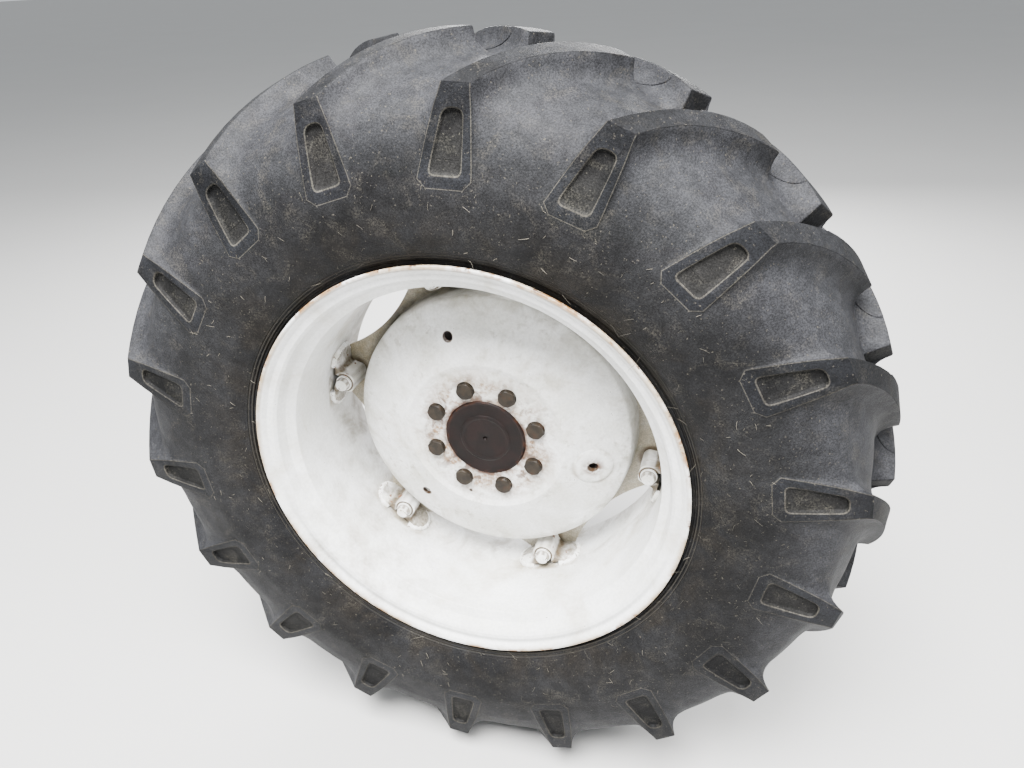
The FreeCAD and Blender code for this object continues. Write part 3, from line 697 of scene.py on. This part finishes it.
def tread_station(s, foot=None, spread=38):
    """One station of a lug on the tread, at s from the middle plane: the place, radius and angle of its leading and
    of its trailing edge, each with the place and radius of the carcass below, and how far the flanks' feet spread.
    The trailing edge runs on past the leading one near the nose."""
    trail = s - nose_skew * max(0.0, (60 - s) / 56) ** 1.5
    way = (lug_end - s) / 170
    trail_way = (lug_end - trail) / 170
    sides = []
    for spot, turn in ((s, -11.4 * way - 5.6 * way ** 2 + 1.8 * way ** 4),
                       (trail, 3.7 - 13.66 * trail_way - 0.43 * trail_way ** 2)):
        below = foot_at(s=spot if foot is None else foot)
        sides.append((spot, 685.4 - 52.4 * (spot / lug_end) ** 2, turn) + below)
    return sides[0], sides[1], spread


def pad_station(s, radius, leading, trailing, foot, spread):
    """One station of a lug's pad, with both edges at one place."""
    below = foot_at(radius=foot)
    return (s, radius, leading) + below, (s, radius, trailing) + below, spread


stations = [tread_station(s) for s in (4, 14, 24.5, 35, 45.5, 56, 67.5, 88.5, 109.5)] + [
    tread_station(130.5, 127, 40), tread_station(151.5, 143, 42), tread_station(166, 151, 42),
    tread_station(lug_end, 157, 40),
    pad_station(174.1, 626, 0.0, 3.9, 588, 38), pad_station(176.8, 600, -0.3, 4.8, 574, 28),
    pad_station(179.1, 578, -0.5, 5.5, 562, 18), pad_station(181.4, 556, -0.7, 6.2, 547, 11),
    pad_station(184.4, 525, -1.0, 7.2, 521, 6), pad_station(185.8, 511, -1.1, 7.7, 509, 4),
    pad_station(186.6, 498.5, 0.15, 6.5, 498, 3),
]
# Share of the way down a flank, and share of the foot's spread that is reached there
flank = ((0.28, 0.06), (0.5, 0.15), (0.68, 0.27), (0.81, 0.43), (0.9, 0.62), (0.955, 0.86), (0.985, 1.12),
         (1.0, 1.45), (1.05, 1.7))
lip_drop = 0.9
lip_width = 1.4


def lug_ring(station, drop=0.0, on=0.0, sink=0.0):
    """Points round a lug at one station, on the near side. drop pulls its top down to the carcass, on moves it on
    beyond the nose and sink moves it in towards the axle, both in millimetres."""
    *sides, spread = station
    points = []
    for side, (s, radius, edge, foot_s, foot_radius) in zip((-1, 1), sides):
        height = math.hypot(s - foot_s, radius - foot_radius)
        run = [(0.0, -side * lip_width), (min(lip_drop / height, 0.2), 0.0)]
        run += [(share, side * part * spread) for share, part in flank]
        if side < 0:
            run.reverse()
        for share, aside in run:
            share = drop + share * (1 - drop)
            r = radius + (foot_radius - radius) * share - sink
            turn = lug_start + edge + math.degrees((aside - 0.62 * on) / r)
            points.append(polar(r, turn, tread_middle - (s + (foot_s - s) * share - 0.78 * on)))
    return points


rings = [lug_ring(stations[0], 1.0, 8, 2), lug_ring(stations[0], 0.03, 1.2)]
rings += [lug_ring(station) for station in stations]
pad_foot = stations[-1][0][3]
for drop, radius, edges in ((0.3, 497, (0.2, 6.45)), (1.0, 494, (0.3, 6.4))):
    ends = [(186.6, radius, edge, pad_foot, radius) for edge in edges]
    rings.append(lug_ring((ends[0], ends[1], 3), drop))
lug = lofted("tread_lug", rings)

# Finish of each face: sidewall, worn tread, pad, pale mould line or dusty pocket
around_ring = len(rings[0])
top_left = around_ring // 2 - 1
shoulder_ring = 2 + [station[0][0] for station in stations].index(lug_end)
pad_foot_ring = 2 + len(stations) - 1
for face in lug.data.polygons:
    ring_numbers = {index // around_ring for index in face.vertices}
    spots = {index % around_ring for index in face.vertices}
    on_pad = min(ring_numbers) >= shoulder_ring
    if spots == {top_left, top_left + 1}:
        face.material_index = 3 if min(ring_numbers) == pad_foot_ring else (2 if on_pad else 1)
    elif spots in ({top_left - 1, top_left}, {top_left + 1, top_left + 2}):
        face.material_index = 3 if on_pad else 1

pocket_outline = rounded([(601, -13.5, 13), (601, 13.5, 13), (515.5, 23, 9), (515.5, -23, 9)], 8)


def pocket_ring(grow, sink):
    """Outline of a pad's pocket, grown by some millimetres and sunk that far below the pad's face."""
    points = []
    for radius, side in pocket_outline:
        across = side * (1 + grow / 18)
        radius = 558 + (radius - 558) * (1 + grow / 42)
        middle = 2.1 + (600 - radius) * 0.0135
        s = 185.35 - (radius - 515.5) * 0.101 - sink * (0.55 + (radius - 515.5) / 100)
        points.append(polar(radius, lug_start + middle + math.degrees(across / radius), tread_middle - s))
    return points


pocket = lofted("pad_pocket", [pocket_ring(0.5, -12), pocket_ring(0.5, 0), pocket_ring(-2.2, 4.4), pocket_ring(-4, 5.2)])
deeper_pocket = lofted("pad_pocket", [pocket_ring(0.5, -12), pocket_ring(0.5, 0), pocket_ring(-2.2, 4.7), pocket_ring(-4, 5.6)])


def rubber(name, dark, light, dust, dust_share, roughness, bloom=0.0):
    """Weathered rubber: cloudy greys, paler where bloom is on it near the tread, with pale dust in blotches and
    specks, and fine mould marks."""
    material, shader, place = finish(name)
    shader.inputs["Specular IOR Level"].default_value = 0.1
    reach = axle_distance(place)
    base = colour(part_of(clouds(place, 6, 12, 0.4), 0.36, 0.64), dark, light)
    if bloom:
        upper = both(part_of(reach, 0.50, 0.61), number_range(clouds(place, 7, 9, 0.4), 0.5, 1.15))
        base = colour(maths("MINIMUM", upper, 1.0), base, (bloom, bloom * 1.015, bloom * 1.12))
        low = both(part_of(reach, 0.50, 0.40), part_of(clouds(place, 13, 12, 0.9), 0.40, 0.66))
        base = colour(maths("MULTIPLY", low, 0.75), base, (0.0088, 0.0074, 0.0058))
    streaks = both(part_of(clouds(place, 24, 13, 0.8), 0.50, 0.68), part_of(clouds(place, 420, 5), 0.40, 0.62))
    base = colour(maths("MULTIPLY", streaks, dust_share), base, dust)
    base = lit(base, number_range(part_of(clouds(place, 50, 10, 0.3), 0.36, 0.64), 0.80, 1.18))
    base = lit(base, number_range(part_of(clouds(place, 420, 5), 0.38, 0.62), 0.66, 1.35))
    specks = part_of(clouds(place, 250, 4), 0.655, 0.68)
    base = colour(maths("MULTIPLY", specks, 0.8), base, [channel * 1.9 for channel in dust])
    line = maths("COMPARE", reach, 0.3915, 0.0006)
    second = maths("COMPARE", reach, 0.3965, 0.0005)
    base = colour(maths("MULTIPLY", maths("ADD", line, second), 0.6), base, dust)
    rings = maths("SINE", maths("MULTIPLY", reach, 1500.0))
    ring_zone = both(part_of(reach, 0.382, 0.386), part_of(reach, 0.402, 0.396))
    height = maths("ADD", clouds(place, 380, 7), maths("MULTIPLY", both(ring_zone, rings), 0.8))
    coat(shader, base, number_range(clouds(place, 30, 8), roughness - 0.14, roughness + 0.14), height, 0.0008)
    return material


dust_grey = (0.030, 0.027, 0.0215)
finishes = [
    rubber("sidewall_rubber", (0.0036, 0.0036, 0.0038), (0.0100, 0.0101, 0.0107), dust_grey, 0.45, 0.6, 0.0200),
    rubber("worn_tread_rubber", (0.0046, 0.0047, 0.0052), (0.0108, 0.0110, 0.0121), dust_grey, 0.5, 0.66),
    rubber("pad_rubber", (0.0036, 0.0038, 0.0045), (0.0088, 0.0092, 0.0106), dust_grey, 0.3, 0.55),
    rubber("mould_line_dust", (0.020, 0.0185, 0.0160), (0.042, 0.039, 0.033), dust_grey, 0.8, 0.8),
    rubber("pocket_dust", (0.0034, 0.0034, 0.0036), (0.0092, 0.0089, 0.0085), (0.027, 0.0252, 0.0205), 0.7, 0.7),
]
for part in (carcass, lug, pocket, deeper_pocket):
    for material in finishes:
        part.data.materials.append(material)
for part in (pocket, deeper_pocket):
    for face in part.data.polygons:
        face.material_index = 4
combined(lug, pocket)
bpy.ops.object.select_all(action="DESELECT")
lug.select_set(True)
bpy.context.view_layer.objects.active = lug
finish_of = {}
for face in lug.data.polygons:
    for key in face.edge_keys:
        finish_of.setdefault(key, set()).add(face.material_index)
bpy.context.tool_settings.mesh_select_mode = (False, True, False)
bpy.ops.object.mode_set(mode="EDIT")
bpy.ops.mesh.select_all(action="DESELECT")
bpy.ops.object.mode_set(mode="OBJECT")
for edge in lug.data.edges:
    edge.select = finish_of[edge.key] == {2, 4}
bpy.ops.object.mode_set(mode="EDIT")
bpy.ops.mesh.bevel(offset=1.3 * mm, segments=1, material=3)
bpy.ops.object.mode_set(mode="OBJECT")

# Low half-moon on the lug's trailing flank, next to its nose


def flank_spot(s, drop, proud):
    """Place on the trailing flank, or proud of it, by the place along its edge and the drop from its top."""
    way = (lug_end - s) / 170
    radius = 685.4 - 52.4 * (s / lug_end) ** 2
    share = drop / (radius - foot_at(s=s)[1])
    for (share_a, part_a), (share_b, part_b) in zip(((0.0, 0.0),) + flank, flank):
        if share_a <= share <= share_b:
            aside = 38 * (part_a + (part_b - part_a) * (share - share_a) / (share_b - share_a)) + proud
    turn = lug_start + 3.7 - 13.66 * way - 0.43 * way ** 2 + math.degrees(aside / (radius - drop))
    return polar(radius - drop, turn, tread_middle - s)


def moon_ring(size, proud):
    """Outline of the half-moon, made smaller about its middle."""
    ring = []
    for step in range(25):
        angle = math.pi * step / 24
        ring.append(flank_spot(38 + 31 * size * math.cos(angle), 12 + size * (33 * math.sin(angle) - 11), proud))
    for along_edge in (-31, -15, 0, 15, 31):
        ring.append(flank_spot(38 + along_edge * size, 12 - size * 11.3, proud))
    return ring


nose_step = lofted("nose_step", [moon_ring(1, -7), moon_ring(1, 1.8), moon_ring(0.96, 2.8), moon_ring(0.6, 3.2), moon_ring(0.2, 3.2)])
for material in finishes:
    nose_step.data.materials.append(material)
lug = joined("tread_lug", [lug, nose_step])
turns = [lug_pitch * index for index in range(18)]
flip = Matrix.Diagonal((1, -1, 1, 1))
to_middle = Matrix.Translation(Vector((0, tread_middle + lip_plane, 0)) * mm)
mirrored = to_middle @ flip @ to_middle.inverted()


def on_both_sides(part, name):
    """The part eighteen times on the near side, and its mirror image half a pitch round on the far side."""
    other = part.copy()
    other.data = part.data.copy()
    bpy.context.collection.objects.link(other)
    other.data.transform(mirrored)
    other.data.flip_normals()
    near = around(part, name, turns)
    far = around(other, name, [turn - lug_pitch / 2 for turn in turns])
    return joined(name, [near, far])


combined(carcass, on_both_sides(deeper_pocket, "pad_pockets"))
tyre = joined("tyre_rubber", [carcass, on_both_sides(lug, "tread_lugs")])
smooth(tyre, 33)
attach(tyre, "wheel")
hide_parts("tyre")

# Mould hairs. Thin rubber whiskers left by the mould's vents, on the sidewall, round the pads and at the lugs' edges,
# dried pale, some of them bent or broken short.
random.seed(5)
whiskers = bpy.data.curves.new("mould_hairs", "CURVE")
whiskers.dimensions = "3D"
whiskers.bevel_depth = 0.4 * mm
whiskers.bevel_resolution = 0
whiskers.use_fill_caps = True


def whisker(radius, turn, length):
    """Adds a bent hair that stands out of the near sidewall."""
    s, radius = foot_at(radius=radius)
    start = polar(radius, turn, tread_middle - s + 0.8)
    lean = random.uniform(0, 2 * math.pi)
    length *= 1.25
    rise = min(random.uniform(0.2, 0.8), (189 - s) / length)
    way = Vector((math.cos(lean), -rise, math.sin(lean)))
    bend = Vector((random.uniform(-1, 1), 0, random.uniform(-1, 1))) * 0.5
    hair = whiskers.splines.new("POLY")
    hair.points.add(3)
    for index in range(4):
        share = index / 3
        hair.points[index].co = (*(start + (way * share + bend * share ** 2) * length * mm), 1)
        hair.points[index].radius = 1 - 0.55 * share


for number in range(64):
    whisker(random.uniform(452, 482), number * 360 / 64 + random.uniform(-7, 7), random.uniform(4, 10))
for number in range(52):
    whisker(random.uniform(408, 446), number * 360 / 52 + random.uniform(-9, 9), random.uniform(4, 9))
for number in range(48):
    whisker(random.uniform(392, 400), number * 360 / 48 + random.uniform(-6, 6), random.uniform(7, 15))
for number in range(18):
    for edge, radius in ((-2.6, 512), (-1.4, 492), (8.4, 505), (6.9, 492)):
        if random.random() < 0.7:
            turn = lug_start + lug_pitch * number + edge + random.uniform(-0.5, 0.5)
            whisker(radius + random.uniform(-4, 12), turn, random.uniform(4, 9))
hairs = bpy.data.objects.new("mould_hairs", whiskers)
bpy.context.collection.objects.link(hairs)
bpy.ops.object.select_all(action="DESELECT")
hairs.select_set(True)
bpy.context.view_layer.objects.active = hairs
bpy.ops.object.convert(target="MESH")
hairs = bpy.context.object
dry_rubber, shader, place = finish("dry_hair_rubber")
shader.inputs["Specular IOR Level"].default_value = 0.2
base = colour(part_of(clouds(place, 6, 4), 0.4, 0.6), (0.022, 0.020, 0.016), (0.12, 0.108, 0.085))
coat(shader, base, number_range(clouds(place, 30), 0.6, 0.8), clouds(place, 900), 0.0002)
hairs.data.materials.append(dry_rubber)
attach(hairs, "wheel")

# Photo stand. A plain pale floor under the tyre, soft light from all over with broad lamps in front, above and
# behind, and the camera where the photographer stood.
bpy.ops.object.select_all(action="DESELECT")
bpy.ops.mesh.primitive_plane_add(size=160, location=(0, 0, -0.6858))
floor = bpy.context.object
floor.name = "studio_floor"
bpy.ops.object.transform_apply(location=True, rotation=True, scale=True)
pale, shader, place = finish("pale_floor")
base = colour(clouds(place, 0.8), (0.43, 0.425, 0.415), (0.46, 0.455, 0.445))
coat(shader, base, number_range(clouds(place, 3), 0.8, 0.9), clouds(place, 40), 0.0005)
floor.data.materials.append(pale)

world = bpy.data.worlds.new("soft_sky")
world.use_nodes = True
world.node_tree.nodes["Background"].inputs["Color"].default_value = (0.92, 0.96, 1.0, 1)
world.node_tree.nodes["Background"].inputs["Strength"].default_value = 0.8
bpy.context.scene.world = world


def lamp(name, place, aim, size, power):
    data = bpy.data.lights.new(name, "AREA")
    data.size = size
    data.energy = power
    light = bpy.data.objects.new(name, data)
    light.location = place
    light.rotation_euler = (Vector(aim) - Vector(place)).to_track_quat("-Z", "Y").to_euler()
    bpy.context.collection.objects.link(light)


lamp("sky_lamp", (-0.1, -2.2, 3.7), (0, -0.3, 0), 2.2, 1500)
lamp("side_lamp", (2.2, -1.6, 2.6), (0, -0.3, 0), 2.0, 190)
lamp("back_lamp", (-0.6, 3.2, 1.5), (0, -0.1, 0), 2.2, 420)

camera_data = bpy.data.cameras.new("photo_camera")
camera = bpy.data.objects.new("photo_camera", camera_data)
bpy.context.collection.objects.link(camera)
camera.location = (0.40679, -1.49960, 0.75560)
camera.rotation_euler = [math.radians(angle) for angle in (61.5874, 1.8900, 16.3656)]
camera_data.lens = 27.0732
camera_data.sensor_width = 36
camera_data.clip_end = 300
bpy.context.scene.camera = camera
